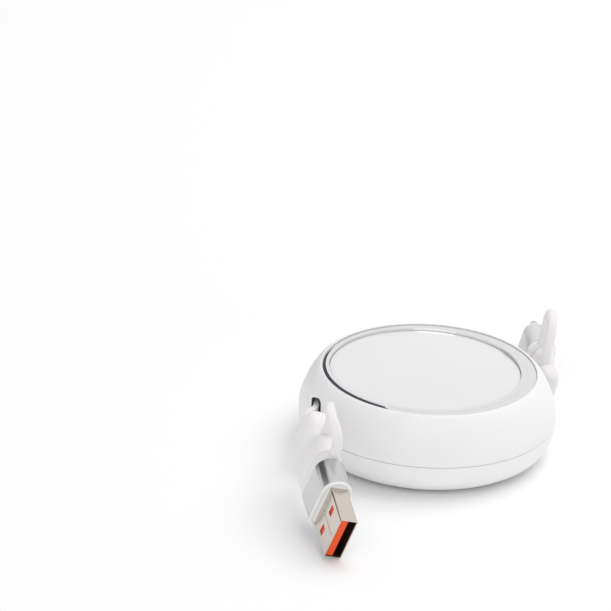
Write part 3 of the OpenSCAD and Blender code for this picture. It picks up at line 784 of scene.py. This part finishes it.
# Welds the loose triangles and breaks the edges that are sharper than the angle
def dress(name, mat, width, b):
    obj = nodes[name]
    obj.data.materials.clear()
    obj.data.materials.append(mat)
    weld = obj.modifiers.new("weld", "WELD")
    weld.merge_threshold = b["weld"] * mm
    if width:
        bevel = obj.modifiers.new("edge", "BEVEL")
        bevel.width = width * mm
        bevel.segments = b["segments"]
        bevel.limit_method = "ANGLE"
        bevel.angle_limit = np.radians(b["from"])
        bevel.harden_normals = True


for name, (mat, width) in kept.items():
    dress(name, mat, width, brokenEdge)
print("CAD pieces dressed")


# Studio in metres: pale floor, white surroundings, large soft lamps, and cards seen only in the metal

studio = {
    "floor": (0.98, 0.98, 0.98), "floorHalf": 4.0,
    "ambient": (0.99, 0.99, 1), "ambientLevel": 0.57,
    "lamps": {
        "keyLamp": {"at": (0.4, 0.3, 1.0), "size": 1.2, "power": 7.0, "mirrored": False},
        "fillLamp": {"at": (-0.2, -1.0, 0.6), "size": 1.0, "power": 2.7, "mirrored": True},
    },
    "cards": {
        "lowCard": {"from": (-0.01, 0.08), "to": (-0.034, 0.08), "base": 0.0, "top": 0.03,
                    "colour": (0.1, 0.12, 0.15)},
        "ringCard": {"from": (-0.034, 0.08), "to": (-0.2, 0.08), "base": 0.0, "top": 0.18,
                     "colour": (0.08, 0.09, 0.11)},
        "plugCard": {"from": (-0.62, 0.6), "to": (-0.82, 0.26), "base": 0.22, "top": 0.95,
                     "colour": (0.03, 0.03, 0.032)},
    },
}


# One quad of the studio; one that isn't lit is left to the reflections
def addSheet(name, corners, mat, lit=True):
    mesh = bpy.data.meshes.new(name)
    mesh.from_pydata(corners, [], [(0, 1, 2, 3)])
    mesh.materials.append(mat)
    obj = bpy.data.objects.new(name, mesh)
    obj.visible_camera = obj.visible_diffuse = obj.visible_shadow = lit
    scene.collection.objects.link(obj)


# Square floor at height 0
def makeFloor(s):
    h = s["floorHalf"]
    mat = newMaterial("floorWhite", s["floor"], 0.9)
    varyRoughness(mat, noiseIn(mat, scale=30, detail=3), 0.85, 0.95)
    addSheet("studioFloor", [(-h, -h, 0), (h, -h, 0), (h, h, 0), (-h, h, 0)], mat)


# Upright card that is only seen in the metal, where it draws the dark bands
def makeCard(name, card):
    (x1, y1), (x2, y2) = card["from"], card["to"]
    low, high = card["base"], card["top"]
    mat = newMaterial(name + "Paint", card["colour"], 0.9)
    addSheet(name, [(x1, y1, low), (x2, y2, low), (x2, y2, high), (x1, y1, high)], mat, lit=False)


# White where it is seen, reflected or looked through, and a plain ambient level as light
def makeWorld(s):
    world = bpy.data.worlds.new("studioWorld")
    scene.world = world
    world.use_nodes = True
    tree = world.node_tree
    seen = tree.nodes["Background"]
    seen.inputs["Color"].default_value = (1, 1, 1, 1)
    ambient = tree.nodes.new("ShaderNodeBackground")
    ambient.inputs["Color"].default_value = (*s["ambient"], 1)
    ambient.inputs["Strength"].default_value = s["ambientLevel"]
    path = tree.nodes.new("ShaderNodeLightPath")
    white = path.outputs["Is Camera Ray"]
    for ray in ("Is Glossy Ray", "Is Transmission Ray"):
        either = tree.nodes.new("ShaderNodeMath")
        either.operation = "MAXIMUM"
        tree.links.new(white, either.inputs[0])
        tree.links.new(path.outputs[ray], either.inputs[1])
        white = either.outputs["Value"]
    mix = tree.nodes.new("ShaderNodeMixShader")
    tree.links.new(white, mix.inputs["Fac"])
    tree.links.new(ambient.outputs["Background"], mix.inputs[1])
    tree.links.new(seen.outputs["Background"], mix.inputs[2])
    tree.links.new(mix.outputs["Shader"], tree.nodes["World Output"].inputs["Surface"])


# Round lamp that faces the object. One that isn't mirrored stays out of the reflections.
def makeLamp(name, lamp):
    data = bpy.data.lights.new(name, "AREA")
    data.shape, data.size, data.energy = "DISK", lamp["size"], lamp["power"]
    obj = bpy.data.objects.new(name, data)
    obj.visible_glossy = lamp["mirrored"]
    at = np.array(lamp["at"], float)
    back = at / np.linalg.norm(at)
    side = np.cross([0, 0, 1.0], back)
    side /= np.linalg.norm(side)
    place = np.eye(4)
    place[:3, :3] = np.stack([side, np.cross(back, side), back], axis=1)
    place[:3, 3] = at
    obj.matrix_world = Matrix(place.tolist())
    scene.collection.objects.link(obj)


makeFloor(studio)
for name, card in studio["cards"].items():
    makeCard(name, card)
makeWorld(studio)
for name, lamp in studio["lamps"].items():
    makeLamp(name, lamp)
scene.view_settings.view_transform = "Standard"
print("studio ready")
